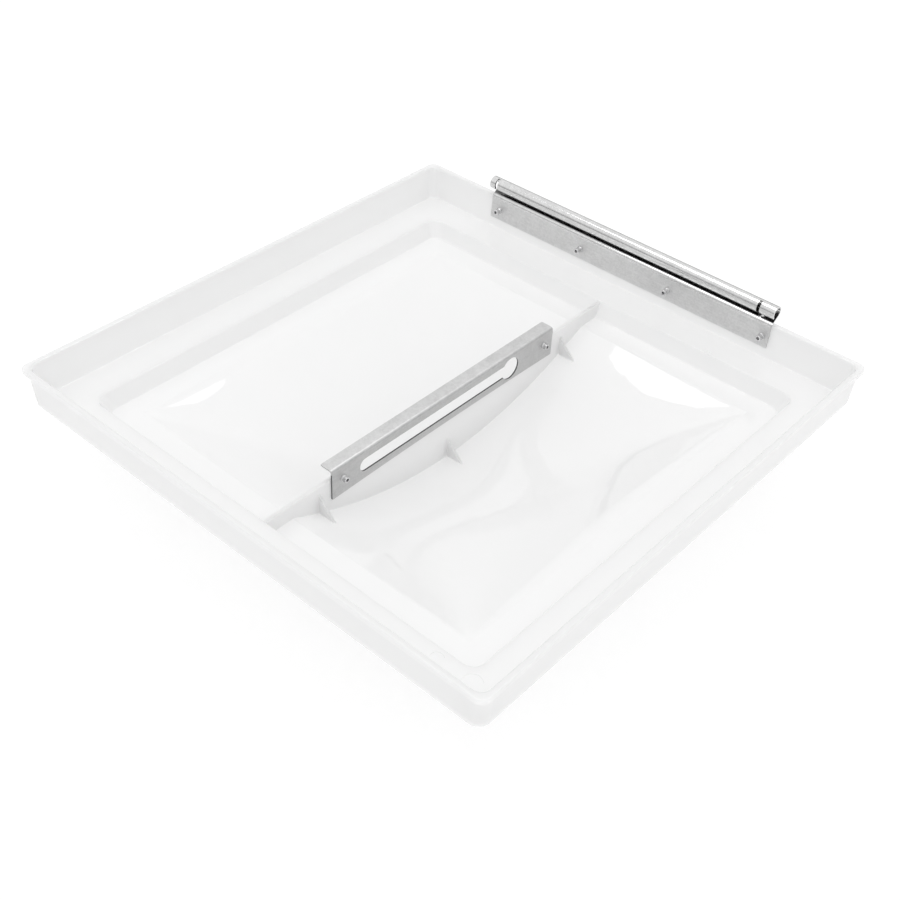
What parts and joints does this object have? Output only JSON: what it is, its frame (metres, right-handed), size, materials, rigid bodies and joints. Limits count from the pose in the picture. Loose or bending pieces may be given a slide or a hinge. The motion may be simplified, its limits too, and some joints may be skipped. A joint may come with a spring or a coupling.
{
  "type": "roof vent lid",
  "caption": "Square domed plastic roof-vent lid lying open side up, with a riveted steel hinge strip along one edge and a keyhole-slotted steel bracket on its centre rib.",
  "frame": {"origin": "middle of the hinge curl's axis", "axes": "+X along the hinge axis, +Y away from the lid across the hinge, +Z out of the lid's open underside, so the lid lies with its open side up and its dome down"},
  "size_m": [0.375, 0.379, 0.0861],
  "materials": {
    "lid_plastic": "glossy milky white, slightly translucent",
    "galvanised_steel": "zinc coated, satin",
    "rivet_aluminium": "plain, slightly bright"
  },
  "bodies": {
    "root": {"lid_shell": "lid_plastic", "hinge_strip": "galvanised_steel", "operator_bracket": "galvanised_steel", "hinge_rivet_1": "rivet_aluminium", "hinge_rivet_2": "rivet_aluminium", "hinge_rivet_3": "rivet_aluminium", "hinge_rivet_4": "rivet_aluminium", "bracket_rivet_1": "rivet_aluminium", "bracket_rivet_2": "rivet_aluminium"}
  },
  "joints": []
}
